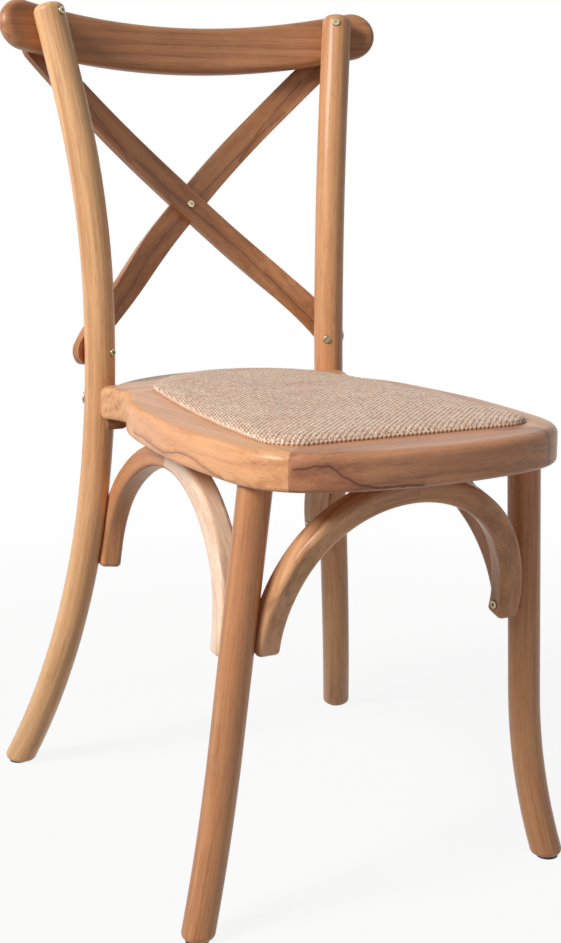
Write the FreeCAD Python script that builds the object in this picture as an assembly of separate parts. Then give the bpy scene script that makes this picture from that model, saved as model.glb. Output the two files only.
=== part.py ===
"""Cross back chair: bent round posts, a framed seat with a woven mat, three arched hoops.

Lengths are in millimetres. +Z is up and the chair faces -Y. Pieces are built on the +X side
and mirrored, and the finished chair is moved so that its origin is the bottom centre of its box.
"""
import FreeCAD
import Part
import math
import os
from FreeCAD import Vector

os.makedirs("parts", exist_ok=True)

# Clearances
FIT = 0.15
HOLE_FIT = 0.1

# Seat frame
SEAT_TOP = 474.0
SEAT_THICKNESS = 35.5
SEAT_TOP_ROUND = 9.0
SEAT_BOTTOM_ROUND = 5.0
SEAT_REAR_Y = 188.0
SEAT_REAR_END = Vector(131, 132, 0)
SEAT_FRONT_Y = -349.0
SEAT_SIDE_OUTLINE = [
    (148, 127),
    (153, 114),
    (147, 96),
    (142, 74),
    (144, 58),
    (156, 31),
    (168, -14),
    (174, -67),
    (178, -121),
    (176.5, -180),
    (172, -237),
    (160, -290),
    (136, -319),
    (97, -336.5),
    (45, -346),
]
FRONT_SEAM_INNER = (108, -283)
FRONT_SEAM_OUTER = (137, -312)
NECK_SEAM_INNER = (110, 69)
NECK_SEAM_OUTER = (142, 60)

# Opening in the seat frame
OPENING_HALF_WIDTH = 141.0
OPENING_FRONT_Y = -292.0
OPENING_CORNER_RADIUS = 37.0
OPENING_REAR_Y = 150.0
OPENING_NECK = (110, 69)
LEDGE_WIDTH = 10.0
LEDGE_THICKNESS = 14.0

# Seat board, padding and mat
BOARD_THICKNESS = 8.0
MAT_THICKNESS = 4.0
MAT_EDGE_RISE = 5.0
MAT_CROWN = 12.0
MAT_SHOULDER = 14.0

# Rear posts
POST_RADIUS = 17.0
POST_TOP = 882.5
POST_TOP_ROUND = 8.0
POST_WAIST_X = 144.0
POST_WAIST_Y = 140.6
POST_WAIST_ABOVE_SEAT = 51.0
POST_LOWER_BEND_LENGTH = 167.6
POST_LOWER_BEND_RADIUS = 1347.0
POST_LOWER_BEND_TURN = 39.9
POST_FOOT_BEND_RADIUS = 840.0
POST_FOOT_BEND_TURN = 66.3
POST_BACK_STRAIGHT = 21.5
POST_BACK_BEND_LENGTH = 253.7
POST_BACK_BEND_RADIUS = 950.0
POST_BACK_BEND_TURN = 53.7
FOOT_ROUND = 6.0

# Front legs
LEG_RADIUS = 16.2
LEG_TOP_X = 144.9
LEG_TOP_Y = -260.1
LEG_SPLAY_X = 0.09
LEG_SPLAY_Y = 0.072
LEG_STRAIGHT = 253.1
LEG_BEND_RADIUS = 716.0
LEG_BEND_TURN = -46.9
TENON_RADIUS = 7.0
TENON_LENGTH = 16.0
TENON_SHIFT = Vector(5, -4, 0)

# Feet
GLIDE_THICKNESS = 3.0
GLIDE_RADIUS = 11.5
GLIDE_NAIL_RADIUS = 1.5
GLIDE_NAIL_LENGTH = 14.0

# Crest rail
CREST_HALF_LENGTH = 229.5
CREST_HEIGHT = 53.5
CREST_THICKNESS = 20.0
CREST_BOW = 43.0
CREST_SMILE = 18.0
CREST_TILT = 12.5
CREST_BELOW_POST_TOP = 42.1
CREST_SADDLE = 1.5
CREST_ROUND = 8.0

# Crossed slats
SLAT_WIDTH = 32.0
SLAT_THICKNESS = 8.0
SLAT_GAP = 0.6
SLAT_END_ROUND = 15.6
SLAT_CROSS_ABOVE_SEAT = 191.0
SLAT_SLOPE = 1.053
SLAT_LOW_X = 156.0
SLAT_LOW_DIP = 7.0
SLAT_DIP_SHARE = 0.1
SLAT_TOP_X = 183.0
SLAT_BULGES = [
    (0.096, 4.9),
    (0.189, 14.6),
    (0.282, 27.2),
    (0.374, 35.0),
    (0.539, 40.0),
    (0.684, 37.1),
    (0.839, 23.2),
    (0.950, 8.5),
]
SLAT_CROSS_BULGE = 38.0
SLAT_CROSS_TILT = 14.5

# Hoops
HOOP_SECTION = 24.5
HOOP_CORNER = 6.0
HOOP_END_ROUND = 5.0
HOOP_SCRIBE = 1.6
HOOP_LAND = 1.0
FRONT_HOOP_SPRING = 282.0
FRONT_HOOP_LEAN = -41.0
FRONT_HOOP_SET_BACK = -2.4
FRONT_HOOP_SIDE_RADIUS = 176.0
FRONT_HOOP_END_DROP = 6.0
SIDE_HOOP_SPRING = 276.0
SIDE_HOOP_LEAN = -18.0
SIDE_HOOP_SIDE_RADIUS = 120.0
SIDE_HOOP_REAR_TURN = 196.5
SIDE_HOOP_FRONT_TURN = 93.0
SIDE_HOOP_REAR_DROP = 15.0
SIDE_HOOP_FRONT_DROP = 8.0
SPACER_THICKNESS = 8.0
SPACER_LENGTH = 46.0
SPACER_WIDTH = 16.0

# Corner blocks
BLOCK_REACH = 23.0
BLOCK_DROP = 12.5
BLOCK_DEPTH = 30.0
BLOCK_HEEL = 3.0

# Fasteners
SCREW_HEAD_RADIUS = 4.5
SCREW_HEAD_HEIGHT = 2.5
SCREW_RADIUS = 2.0
SOCKET_RADIUS = 1.75
SOCKET_DEPTH = 1.6
SCREW_SPOTFACE = 0.8
BOARD_SCREW_HEAD_RADIUS = 3.0
BOARD_SCREW_RADIUS = 1.4
BOARD_SCREW_BITE = 5.0
BOARD_SCREW_TURNS = (50, 130, 195, 345, 250, 290)
BOLT_HEAD_RADIUS = 8.0
BOLT_HEAD_HEIGHT = 3.5
BOLT_RADIUS = 3.0
BOLT_BITE = 34.0
BOLT_TURN = 233.0
DOWEL_RADIUS = 4.0
DOWEL_LENGTH = 30.0
DOWEL_SPACING = 14.0
CREST_SCREW_HEIGHT = 871.0
CREST_SCREW_BITE = 12.0
CREST_SCREW_TURN = 58.5
SLAT_TOP_SCREW_BITE = 12.0
HOOP_LEG_SCREW_BITE = 16.0
HOOP_SCREW_LIFT = 6.0
HOOP_UPPER_SCREW_LIFT = 20.0
HOOP_SEAT_SCREW_BITE = 11.0
HOOP_SEAT_SCREW_OFFSET = 13.0
BLOCK_SCREW_BITE = 14.0

# Values that follow from the sizes above
UP = Vector(0, 0, 1)
SEAT_BOTTOM = SEAT_TOP - SEAT_THICKNESS
BOARD_BOTTOM = SEAT_BOTTOM + LEDGE_THICKNESS
BOARD_TOP = BOARD_BOTTOM + BOARD_THICKNESS
REACH = 2000.0
OVERRUN = 80.0


def plan(turn):
    """Level direction at an angle in degrees from +X towards +Y."""
    return Vector(math.cos(math.radians(turn)), math.sin(math.radians(turn)), 0)


def unit(vector):
    """Copy of a vector with a length of one."""
    result = Vector(vector)
    result.normalize()
    return result


def square_to(vector, axis):
    """Direction of a vector after its share along a unit axis is taken out."""
    return unit(vector - axis * vector.dot(axis))


def mirrored(shape):
    """Twin of a piece on the -X side."""
    return shape.mirror(Vector(0, 0, 0), Vector(1, 0, 0))


# Bent poles


def bent_edges(start, heading, bends):
    """Centreline that leaves start along heading; a bend is (length, radius, turn in plan)."""
    edges = []
    point = Vector(start)
    forward = unit(heading)
    for length, radius, turn in bends:
        if radius is None:
            end = point + forward * length
            edges.append(Part.LineSegment(point, end).toShape())
        else:
            side = square_to(plan(turn), forward)
            angle = length / radius
            middle = point + forward * (radius * math.sin(angle / 2))
            middle += side * (radius * (1 - math.cos(angle / 2)))
            end = point + forward * (radius * math.sin(angle))
            end += side * (radius * (1 - math.cos(angle)))
            edges.append(Part.Arc(point, middle, end).toShape())
            forward = forward * math.cos(angle) + side * math.sin(angle)
        point = end
    return edges


def at_height(edges, height):
    """Point and upward direction of a centreline at one height."""
    for edge in edges:
        low, high = edge.ParameterRange
        if edge.valueAt(low).z > edge.valueAt(high).z:
            low, high = high, low
        if edge.valueAt(low).z <= height <= edge.valueAt(high).z:
            for _ in range(50):
                middle = (low + high) / 2
                if edge.valueAt(middle).z < height:
                    low = middle
                else:
                    high = middle
            along = unit(edge.tangentAt(low))
            if along.z < 0:
                along = along * -1
            return edge.valueAt(low), along
    raise ValueError("centreline doesn't reach this height")


def pole(edges, radius):
    """Round bar along a centreline."""
    path = Part.Wire(Part.sortEdges(edges)[0])
    first = path.OrderedEdges[0]
    start = path.OrderedVertexes[0].Point
    low, high = first.ParameterRange
    at = low if (first.valueAt(low) - start).Length < (first.valueAt(high) - start).Length else high
    ring = Part.Wire(Part.Circle(start, first.tangentAt(at), radius).toShape())
    return path.makePipeShell([ring], True, False)


def slab(low, high):
    """Level slab between two heights, larger than the chair."""
    return Part.makeBox(REACH, REACH, high - low, Vector(-REACH / 2, -REACH / 2, low))


def edges_at_height(shape, height):
    """Edges of a shape that lie flat at one height."""
    found = []
    for edge in shape.Edges:
        box = edge.BoundBox
        if abs(box.ZMin - height) < 0.02 and abs(box.ZMax - height) < 0.02:
            found.append(edge)
    return found


def post_centreline():
    """Rear post from below the floor to its top, bent out at the foot and back above the seat."""
    waist = Vector(POST_WAIST_X, POST_WAIST_Y, SEAT_TOP + POST_WAIST_ABOVE_SEAT)
    foot_length = waist.z - POST_LOWER_BEND_LENGTH + OVERRUN
    down = bent_edges(waist, UP * -1, [
        (POST_LOWER_BEND_LENGTH, POST_LOWER_BEND_RADIUS, POST_LOWER_BEND_TURN),
        (foot_length, POST_FOOT_BEND_RADIUS, POST_FOOT_BEND_TURN),
    ])
    lean = POST_BACK_BEND_LENGTH / POST_BACK_BEND_RADIUS
    bend_top = waist.z + POST_BACK_STRAIGHT + POST_BACK_BEND_RADIUS * math.sin(lean)
    up = bent_edges(waist, UP, [
        (POST_BACK_STRAIGHT, None, 0),
        (POST_BACK_BEND_LENGTH, POST_BACK_BEND_RADIUS, POST_BACK_BEND_TURN),
        ((POST_TOP - bend_top) / math.cos(lean), None, 0),
    ])
    return down + up


def leg_centreline():
    """Front leg from the seat to below the floor: straight, then flared at the foot."""
    top = Vector(LEG_TOP_X, LEG_TOP_Y, SEAT_BOTTOM)
    foot_length = SEAT_BOTTOM - LEG_STRAIGHT + OVERRUN
    return bent_edges(top, Vector(LEG_SPLAY_X, LEG_SPLAY_Y, -1), [
        (LEG_STRAIGHT, None, 0),
        (foot_length, LEG_BEND_RADIUS, LEG_BEND_TURN),
    ])


POST_LINE = post_centreline()
LEG_LINE = leg_centreline()


def rear_post():
    """Bent post with a rounded top, cut level at the foot."""
    bar = pole(POST_LINE, POST_RADIUS)
    top, along = at_height(POST_LINE, POST_TOP - 0.01)
    rim = [edge for edge in bar.Edges
           if (edge.CenterOfMass - top).Length < 1 and edge.Length < 4 * math.pi * POST_RADIUS]
    bar = bar.makeFillet(POST_TOP_ROUND, rim)
    bar = bar.cut(slab(-OVERRUN * 2, GLIDE_THICKNESS))
    return bar.makeFillet(FOOT_ROUND, edges_at_height(bar, GLIDE_THICKNESS))


def front_leg():
    """Bent leg with a round tenon that stands in the side rail."""
    top = LEG_LINE[0].valueAt(LEG_LINE[0].FirstParameter)
    stub = bent_edges(top, Vector(-LEG_SPLAY_X, -LEG_SPLAY_Y, 1), [(LEG_RADIUS, None, 0)])
    bar = pole(stub + LEG_LINE, LEG_RADIUS)
    bar = bar.cut(slab(SEAT_BOTTOM, SEAT_BOTTOM + OVERRUN)).cut(slab(-OVERRUN * 2, GLIDE_THICKNESS))
    bar = bar.makeFillet(FOOT_ROUND, edges_at_height(bar, GLIDE_THICKNESS))
    return bar.fuse(tenon(TENON_RADIUS, TENON_LENGTH, 2)).removeSplitter()


def tenon(radius, length, root):
    """Round tenon on a front leg, or the hole for it, with its root sunk below the seat."""
    foot = Vector(LEG_TOP_X, LEG_TOP_Y, SEAT_BOTTOM - root) + TENON_SHIFT
    return Part.makeCylinder(radius, length + root, foot)


# Seat


def prism(points, low, high):
    """Upright prism over a plan outline."""
    corners = [Vector(x, y, low) for x, y in points]
    face = Part.Face(Part.makePolygon(corners + corners[:1]))
    return face.extrude(UP * (high - low))


def seat_blank():
    """Solid seat outline with rounded edges, before it is opened and parted."""
    end = SEAT_REAR_END
    back = Part.Arc(Vector(-end.x, end.y, 0), Vector(0, SEAT_REAR_Y, 0), end).toShape()
    right = [end] + [Vector(x, y, 0) for x, y in SEAT_SIDE_OUTLINE]
    left = [Vector(-point.x, point.y, 0) for point in reversed(right)]
    rim = Part.BSplineCurve()
    rim.interpolate(right + [Vector(0, SEAT_FRONT_Y, 0)] + left)
    outline = Part.Wire([back, rim.toShape()])
    outline.translate(UP * SEAT_BOTTOM)
    blank = Part.Face(outline).extrude(UP * SEAT_THICKNESS)
    blank = blank.makeFillet(SEAT_TOP_ROUND, edges_at_height(blank, SEAT_TOP))
    return blank.makeFillet(SEAT_BOTTOM_ROUND, edges_at_height(blank, SEAT_BOTTOM))


def opening_wire(inset, height, shrink=1.0):
    """Outline of the seat's opening, moved in by inset, and shrunk about its middle."""
    half = OPENING_HALF_WIDTH - inset
    front = OPENING_FRONT_Y + inset
    corner = OPENING_CORNER_RADIUS - inset
    corner_y = OPENING_FRONT_Y + OPENING_CORNER_RADIUS
    corner_x = OPENING_HALF_WIDTH - OPENING_CORNER_RADIUS
    neck_x, neck_y = OPENING_NECK
    drop = OPENING_HALF_WIDTH - neck_x
    side_radius = (drop ** 2 + (neck_y - corner_y) ** 2) / (2 * drop) - inset
    side_centre = half - side_radius
    rise = OPENING_REAR_Y - neck_y
    full_rear = (neck_x ** 2 + rise ** 2) / (2 * rise)
    rear_centre = OPENING_REAR_Y - full_rear
    rear_radius = full_rear - inset
    # Where the side arc and the rear arc cross
    across = -side_centre
    along = rear_centre - corner_y
    span = math.hypot(across, along)
    share = (side_radius ** 2 - rear_radius ** 2 + span ** 2) / (2 * span)
    off = math.sqrt(side_radius ** 2 - share ** 2)
    meet_x = side_centre + (share * across + off * along) / span
    meet_y = corner_y + (share * along - off * across) / span
    side_turn = math.asin((meet_y - corner_y) / side_radius) / 2
    side_x = side_centre + side_radius * math.cos(side_turn)
    side_y = corner_y + side_radius * math.sin(side_turn)
    bevel = corner * math.sqrt(0.5)
    middle_y = (OPENING_FRONT_Y + OPENING_REAR_Y) / 2

    def spot(x, y):
        return Vector(x * shrink, middle_y + (y - middle_y) * shrink, height)

    def arc(*points):
        return Part.Arc(*[spot(x, y) for x, y in points]).toShape()

    edges = [
        arc((-meet_x, meet_y), (0, OPENING_REAR_Y - inset), (meet_x, meet_y)),
        arc((meet_x, meet_y), (side_x, side_y), (half, corner_y)),
        arc((half, corner_y), (corner_x + bevel, corner_y - bevel), (corner_x, front)),
        Part.LineSegment(spot(corner_x, front), spot(-corner_x, front)).toShape(),
        arc((-corner_x, front), (-corner_x - bevel, corner_y - bevel), (-half, corner_y)),
        arc((-half, corner_y), (-side_x, side_y), (-meet_x, meet_y)),
    ]
    return Part.Wire(edges)


def opening_prism(inset, low, high):
    """Upright prism over the opening's outline."""
    return Part.Face(opening_wire(inset, low)).extrude(UP * (high - low))


def beyond(inner, outer, x):
    """Point of the line through a seam at one X."""
    slope = (outer[1] - inner[1]) / (outer[0] - inner[0])
    return (x, inner[1] + slope * (x - inner[0]))


def post_notch():
    """Notch in the seat for a post, straight along the post's own lean there."""
    post, along = at_height(POST_LINE, SEAT_TOP - SEAT_THICKNESS / 2)
    return Part.makeCylinder(POST_RADIUS + FIT, 2 * SEAT_THICKNESS, post - along * SEAT_THICKNESS, along)


def seam_dowels(inner, outer):
    """Two dowels side by side, square to a seam between rails."""
    start = Vector(inner[0], inner[1], 0)
    end = Vector(outer[0], outer[1], 0)
    across = unit(end - start)
    along = Vector(-across.y, across.x, 0)
    middle = (start + end) / 2 + UP * (SEAT_BOTTOM + LEDGE_THICKNESS / 2)
    dowels = []
    for side in (-0.5, 0.5):
        centre = middle + across * (side * DOWEL_SPACING)
        dowels.append((centre - along * (DOWEL_LENGTH / 2), along))
    return dowels


def rods(places, radius, length):
    """Plain round rods at (start, direction) places."""
    return [Part.makeCylinder(radius, length, start, along) for start, along in places]


# Fasteners


def screw(seat, along, length, head=SCREW_HEAD_RADIUS, radius=SCREW_RADIUS):
    """Socket head screw whose head stands on seat, with its shank along a direction."""
    back = along * -1
    cap = Part.makeCylinder(head, SCREW_HEAD_HEIGHT, seat, back)
    crown = [edge for edge in cap.Edges if (edge.CenterOfMass - seat).Length > SCREW_HEAD_HEIGHT * 0.9
             and edge.Closed]
    cap = cap.makeFillet(SCREW_HEAD_HEIGHT * 0.4, crown)
    side = square_to(UP if abs(along.z) < 0.7 else plan(0), along)
    other = along.cross(side)
    key = []
    for corner in range(7):
        turn = math.radians(60 * corner)
        key.append(seat + back * SCREW_HEAD_HEIGHT
                   + side * (SOCKET_RADIUS * math.cos(turn))
                   + other * (SOCKET_RADIUS * math.sin(turn)))
    socket = Part.Face(Part.makePolygon(key)).extrude(along * SOCKET_DEPTH)
    root = SCREW_HEAD_HEIGHT * 0.2
    shank = Part.makeCylinder(radius, length + root, seat - along * root, along)
    return cap.cut(socket).fuse(shank)


def screw_hole(seat, along, length, head=SCREW_HEAD_RADIUS, radius=SCREW_RADIUS):
    """Space that a screw takes: its shank, and a spotface or counterbore for its head."""
    shank = Part.makeCylinder(radius + HOLE_FIT, length + 1, seat, along)
    room = Part.makeCylinder(head + 4 * HOLE_FIT, OVERRUN / 4, seat, along * -1)
    return shank.fuse(room)


# Crest rail

CREST_RADIUS = (CREST_HALF_LENGTH ** 2 + CREST_BOW ** 2) / (2 * CREST_BOW)
SMILE_RADIUS = (CREST_HALF_LENGTH ** 2 + CREST_SMILE ** 2) / (2 * CREST_SMILE)
CREST_LEAN = math.radians(CREST_TILT)


def crest_origin():
    """Middle of the rail, placed so that its hollow front just bites the backs of the posts."""
    height = POST_TOP - CREST_BELOW_POST_TOP
    post, _ = at_height(POST_LINE, height + CREST_SMILE)
    reach = CREST_RADIUS - CREST_THICKNESS / 2 + CREST_SADDLE - POST_RADIUS
    depth = math.sqrt(reach ** 2 - post.x ** 2) - CREST_RADIUS
    rise = post.z - height
    return Vector(0, post.y - (depth + rise * math.sin(CREST_LEAN)) / math.cos(CREST_LEAN), height)


CREST_MIDDLE = crest_origin()


def crest_point(x, y, z):
    """Point of the upright, unplaced rail after it is leant back and put in place."""
    return CREST_MIDDLE + crest_direction(x, y, z)


def crest_direction(x, y, z):
    """Direction of the unplaced rail after it is leant back."""
    cosine = math.cos(CREST_LEAN)
    sine = math.sin(CREST_LEAN)
    return Vector(x, y * cosine + z * sine, z * cosine - y * sine)


def arc_at(centre, radius, first, second, axes):
    """Arc about a centre between two angles from the second axis, in degrees."""
    spots = []
    for turn in (first, (first + second) / 2, second):
        angle = math.radians(turn)
        spots.append(centre + axes[0] * (radius * math.sin(angle)) + axes[1] * (radius * math.cos(angle)))
    return Part.Arc(*spots).toShape()


def band(centre, inner, outer, spread, axes):
    """Face between two arcs about one centre, closed by straight ends."""
    near = arc_at(centre, inner, -spread, spread, axes)
    far = arc_at(centre, outer, -spread, spread, axes)
    ends = []
    for turn in (-spread, spread):
        angle = math.radians(turn)
        ray = axes[0] * math.sin(angle) + axes[1] * math.cos(angle)
        ends.append(Part.LineSegment(centre + ray * inner, centre + ray * outer).toShape())
    return Part.Face(Part.Wire(Part.sortEdges([near, far] + ends)[0]))


def crest_blank():
    """Rail bowed in plan, curved up at its ends in elevation, with half round ends."""
    half = CREST_HEIGHT / 2
    level = (Vector(1, 0, 0), Vector(0, 1, 0))
    spread = math.degrees(math.asin((CREST_HALF_LENGTH + half) / CREST_RADIUS))
    bow = band(Vector(0, -CREST_RADIUS, -2 * half), CREST_RADIUS - CREST_THICKNESS / 2,
               CREST_RADIUS + CREST_THICKNESS / 2, spread, level)
    bow = bow.extrude(UP * (5 * half))
    centre = Vector(0, -CREST_RADIUS / 2, SMILE_RADIUS)
    turn = math.asin((CREST_HALF_LENGTH - half) / SMILE_RADIUS)
    upright = (Vector(1, 0, 0), Vector(0, 0, -1))
    lower = arc_at(centre, SMILE_RADIUS + half, -math.degrees(turn), math.degrees(turn), upright)
    upper = arc_at(centre, SMILE_RADIUS - half, -math.degrees(turn), math.degrees(turn), upright)
    outline = [lower, upper]
    for side in (-1, 1):
        ray = Vector(side * math.sin(turn), 0, -math.cos(turn))
        out = Vector(side * math.cos(turn), 0, math.sin(turn))
        tip = centre + ray * SMILE_RADIUS
        outline.append(Part.Arc(tip + ray * half, tip + out * half, tip - ray * half).toShape())
    face = Part.Face(Part.Wire(Part.sortEdges(outline)[0]))
    rail = bow.common(face.extrude(Vector(0, CREST_RADIUS, 0)))
    rims = [edge for edge in rail.Edges if not is_straight(edge)]
    return rail.makeFillet(CREST_ROUND, rims)


def is_straight(edge):
    """Whether an edge is a straight line."""
    return edge.Curve.TypeId == "Part::GeomLine"


def crest_rail():
    """Rail leant back and set on the posts, with a saddle for each post."""
    rail = crest_blank()
    rail.rotate(Vector(0, 0, 0), Vector(1, 0, 0), -CREST_TILT)
    rail.translate(CREST_MIDDLE)
    saddle = pole(POST_LINE, POST_RADIUS + FIT)
    return rail.cut(saddle).cut(mirrored(saddle))


# Crossed slats


def crest_room():
    """Space up to the back of the crest rail, which the slats keep clear of."""
    base = crest_point(0, -CREST_RADIUS, -CREST_HEIGHT / 2)
    radius = CREST_RADIUS + CREST_THICKNESS / 2 + FIT
    return Part.makeCylinder(radius, 2 * CREST_HEIGHT, base, crest_direction(0, 0, 1))


def slat_ends():
    """Centres and outward normals of a slat's lower end on the post and upper end on the rail."""
    cross_z = SEAT_TOP + SLAT_CROSS_ABOVE_SEAT
    low_z = cross_z - SLAT_LOW_X / SLAT_SLOPE - SLAT_LOW_DIP
    top_z = cross_z + SLAT_TOP_X / SLAT_SLOPE
    post, _ = at_height(POST_LINE, low_z)
    stand = POST_RADIUS + SLAT_THICKNESS / 2 + FIT
    across = (SLAT_LOW_X - post.x) / stand
    low_normal = Vector(across, math.sqrt(1 - across ** 2), 0)
    low = Vector(post.x, post.y, low_z) + low_normal * stand
    outer = CREST_RADIUS + (CREST_THICKNESS + SLAT_THICKNESS) / 2 + SLAT_GAP
    depth = math.sqrt(outer ** 2 - SLAT_TOP_X ** 2) - CREST_RADIUS
    up = (top_z - CREST_MIDDLE.z + depth * math.sin(CREST_LEAN)) / math.cos(CREST_LEAN)
    top = crest_point(-SLAT_TOP_X, depth, up)
    top_normal = unit(crest_direction(-SLAT_TOP_X, CREST_RADIUS + depth, 0))
    return low, low_normal, top, top_normal


def slat_section(centre, along, normal):
    """Flat rectangle across a slat."""
    facing = square_to(normal, along)
    across = along.cross(facing) * (SLAT_WIDTH / 2)
    through = facing * (SLAT_THICKNESS / 2)
    corners = [centre + across + through, centre - across + through,
               centre - across - through, centre + across - through]
    return Part.makePolygon(corners + corners[:1])


def slat_cross():
    """Point between the two slats where they cross, and the normal of the face they share."""
    low, _, top, _ = slat_ends()
    low += UP * SLAT_LOW_DIP
    share = SLAT_LOW_X / (SLAT_LOW_X + SLAT_TOP_X)
    tilt = math.radians(SLAT_CROSS_TILT)
    middle = low + (top - low) * share + Vector(0, SLAT_CROSS_BULGE, 0)
    return middle, Vector(0, math.cos(tilt), -math.sin(tilt))


def slat_blank(layer):
    """Slat from the +X post to the -X end of the rail; layer moves its middle front or back."""
    low, low_normal, top, top_normal = slat_ends()
    cross_normal = slat_cross()[1]
    base = low + UP * SLAT_LOW_DIP
    run = top - base
    reach = SLAT_WIDTH / 2
    cross_share = SLAT_LOW_X / (SLAT_LOW_X + SLAT_TOP_X)
    first = run + UP * (2 * SLAT_LOW_DIP / SLAT_DIP_SHARE)
    stations = [(low - square_to(first, low_normal) * reach, low_normal), (low, low_normal)]
    for share, bulge in sorted(SLAT_BULGES + [(cross_share, SLAT_CROSS_BULGE)]):
        apart = abs(share - cross_share)
        fade = min(1.0, max(0.0, 1.6 - 5 * apart))
        blend = min(1.0, max(0.0, 1.5 - 4 * apart))
        end_normal = low_normal if share < cross_share else top_normal
        fall = SLAT_LOW_DIP * max(0.0, 1 - share / SLAT_DIP_SHARE) ** 2
        centre = base + run * share + Vector(0, bulge + layer * fade * SLAT_THICKNESS / 2, -fall)
        stations.append((centre, unit(end_normal * (1 - blend) + cross_normal * blend)))
    stations += [(top, top_normal), (top + square_to(run, top_normal) * reach, top_normal)]
    sections = []
    for index, (centre, normal) in enumerate(stations):
        before = stations[max(index - 1, 0)][0]
        after = stations[min(index + 1, len(stations) - 1)][0]
        sections.append(slat_section(centre, unit(after - before), normal))
    strip = Part.makeLoft(sections, True, False)
    corners = [edge for edge in strip.Edges if abs(edge.Length - SLAT_THICKNESS) < 0.5]
    return strip.makeFillet(SLAT_END_ROUND, corners)


# Hoops


def arch_half(span, rise, side_radius, drop):
    """Flat half of an arch: straight foot, side arc and crown arc, as edges in X and Y."""
    crown_radius = (span ** 2 + rise ** 2 - 2 * span * side_radius) / (2 * (rise - side_radius))
    side_centre = Vector(span - side_radius, 0, 0)
    crown_centre = Vector(0, rise - crown_radius, 0)
    line = unit(side_centre - crown_centre)
    if side_radius > crown_radius:
        line = line * -1
    meet = crown_centre + line * crown_radius
    side_turn = math.atan2(line.y, line.x) / 2
    side_mid = side_centre + Vector(math.cos(side_turn), math.sin(side_turn), 0) * side_radius
    crown_turn = (math.atan2(line.y, line.x) + math.pi / 2) / 2
    crown_mid = crown_centre + Vector(math.cos(crown_turn), math.sin(crown_turn), 0) * crown_radius
    return [
        Part.LineSegment(Vector(span, -drop, 0), Vector(span, 0, 0)).toShape(),
        Part.Arc(Vector(span, 0, 0), side_mid, meet).toShape(),
        Part.Arc(meet, crown_mid, Vector(0, rise, 0)).toShape(),
    ]


def rounded_square(centre_x, level):
    """Hoop section in a plane square to the foot of an arch."""
    half = HOOP_SECTION / 2
    flat = half - HOOP_CORNER
    edges = []
    for quarter in range(4):
        turn = math.radians(90 * quarter)
        axis = Vector(math.cos(turn), 0, math.sin(turn))
        side = Vector(-math.sin(turn), 0, math.cos(turn))
        middle = Vector(centre_x, level, 0)
        start = middle + axis * half - side * flat
        end = middle + axis * half + side * flat
        corner = middle + axis * flat + side * flat
        bevel = corner + (axis + side) * (HOOP_CORNER * math.sqrt(0.5))
        finish = corner + side * HOOP_CORNER
        edges.append(Part.LineSegment(start, end).toShape())
        edges.append(Part.Arc(end, bevel, finish).toShape())
    return Part.Wire(edges)


def hoop_frame(start, end, lean, crown_height):
    """Placement of a hoop whose springing points are start and end; its X axis ends at end."""
    middle = (start + end) / 2
    out = unit(end - start)
    level = Vector(-out.y, out.x, 0)
    top = middle + level * lean + UP * (crown_height - middle.z)
    rise = unit(top - middle)
    facing = out.cross(rise)
    frame = FreeCAD.Matrix(out.x, rise.x, facing.x, middle.x,
                           out.y, rise.y, facing.y, middle.y,
                           out.z, rise.z, facing.z, middle.z,
                           0, 0, 0, 1)
    return FreeCAD.Placement(frame), (end - start).Length / 2, (top - middle).Length


def hoop_half(span, rise, side_radius, drop, placement):
    """Half of a hoop, from its foot to the joint at its crown."""
    path = Part.Wire(arch_half(span, rise, side_radius, drop))
    bar = path.makePipeShell([rounded_square(span, -drop)], True, False)
    foot = [edge for edge in bar.Edges if abs(edge.BoundBox.YMax + drop) < 0.05]
    bar = bar.makeFillet(HOOP_END_ROUND, foot)
    bar.Placement = placement
    return bar


def crown_height(lean, top):
    """Height of a hoop's centreline at its crown, so that its top is planed flat at top."""
    flat = HOOP_SECTION / 2 - HOOP_CORNER
    return top + HOOP_LAND - flat * (math.cos(lean) + math.sin(lean)) - HOOP_CORNER


def front_hoop_frame():
    """Front hoop between the inner sides of the front legs."""
    leg, _ = at_height(LEG_LINE, FRONT_HOOP_SPRING)
    apart = LEG_RADIUS + HOOP_SECTION / 2 - HOOP_SCRIBE
    end = Vector(leg.x - apart, leg.y + FRONT_HOOP_SET_BACK, FRONT_HOOP_SPRING)
    start = Vector(-end.x, end.y, end.z)
    lean = math.atan(-FRONT_HOOP_LEAN / (SEAT_BOTTOM - FRONT_HOOP_SPRING))
    return hoop_frame(start, end, FRONT_HOOP_LEAN, crown_height(lean, SEAT_BOTTOM))


def side_hoop_frame():
    """Hoop on the +X side, from the front of the rear post to the back of the front leg."""
    post, _ = at_height(POST_LINE, SIDE_HOOP_SPRING)
    leg, _ = at_height(LEG_LINE, SIDE_HOOP_SPRING)
    half = HOOP_SECTION / 2 - HOOP_SCRIBE
    start = post + plan(SIDE_HOOP_REAR_TURN) * (POST_RADIUS + half)
    end = leg + plan(SIDE_HOOP_FRONT_TURN) * (LEG_RADIUS + half)
    lean = math.atan(-SIDE_HOOP_LEAN / (SEAT_BOTTOM - SIDE_HOOP_SPRING))
    land = SEAT_BOTTOM - SPACER_THICKNESS
    return hoop_frame(start, end, SIDE_HOOP_LEAN, crown_height(lean, land))


# Places of the fasteners, as (seat of the head, direction, length)


def crest_screw_place():
    """Screw through the top of a post into the crest rail."""
    post, along = at_height(POST_LINE, CREST_SCREW_HEIGHT)
    into = square_to(plan(CREST_SCREW_TURN), along)
    stand = POST_RADIUS - SCREW_SPOTFACE
    return post - into * stand, into, stand + POST_RADIUS + CREST_SCREW_BITE


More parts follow.
